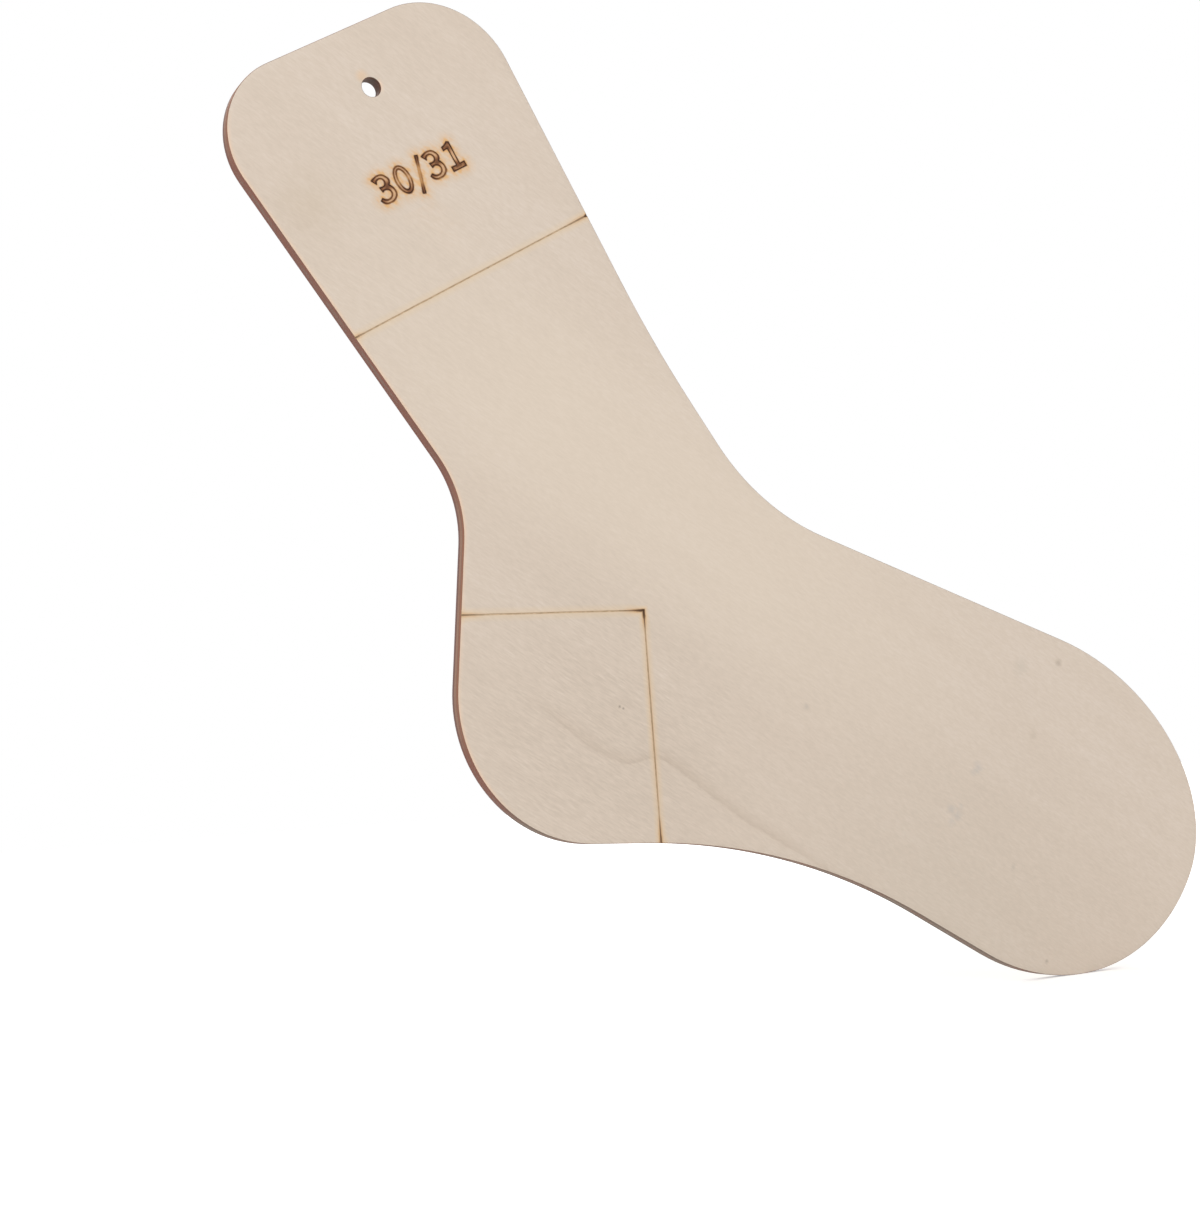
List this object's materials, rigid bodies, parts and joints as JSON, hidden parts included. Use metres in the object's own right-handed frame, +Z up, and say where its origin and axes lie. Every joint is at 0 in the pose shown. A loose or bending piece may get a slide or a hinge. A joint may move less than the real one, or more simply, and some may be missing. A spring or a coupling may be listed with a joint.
{
  "type": "sock stretcher",
  "caption": "Flat plywood sock form that keeps a sock in shape while it dries, with a hanging hole at the top of the leg and scored cuff and heel lines.",
  "frame": {"origin": "centre of the hanging hole, half way through the sheet", "axes": "+Z up, +X toward the toe, -Y out of the marked front face; the level heel line runs along X and the upright one along Z"},
  "size_m": [0.2285, 0.003, 0.2123],
  "materials": {
    "face_veneer": "sanded pale veneer, unfinished, cut edge browned by the laser",
    "core_veneer": "browned cut edge",
    "glue": "cured glue line, charred at the cut edge"
  },
  "bodies": {
    "root": {"front_veneer": "face_veneer", "front_glue_line": "glue", "core_veneer": "core_veneer", "back_glue_line": "glue", "back_veneer": "face_veneer"}
  },
  "joints": []
}
